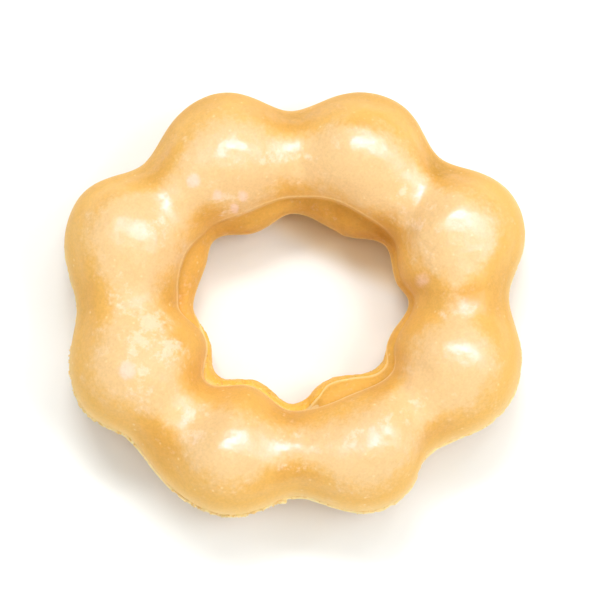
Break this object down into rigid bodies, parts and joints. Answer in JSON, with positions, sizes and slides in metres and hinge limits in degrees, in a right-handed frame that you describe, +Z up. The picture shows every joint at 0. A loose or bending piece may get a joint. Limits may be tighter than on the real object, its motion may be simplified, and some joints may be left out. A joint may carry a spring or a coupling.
{
  "type": "mochi doughnut",
  "caption": "Uneven ring of soft round dough balls fried together, open in the middle, glazed over the top and flat where it rests; a snack to serve on a plate or in a box.",
  "frame": {"origin": "on the table that the doughnut rests on, under the middle of its bounding box, inside the hole", "axes": "+Z up through the hole, +X along the ring's longest side and to the right in the picture, +Y away from the viewer of the picture"},
  "size_m": [0.0904, 0.0832, 0.0272],
  "materials": {
    "glazed_dough": "gloss"
  },
  "bodies": {
    "root": {"mochi_doughnut": "glazed_dough"}
  },
  "joints": []
}
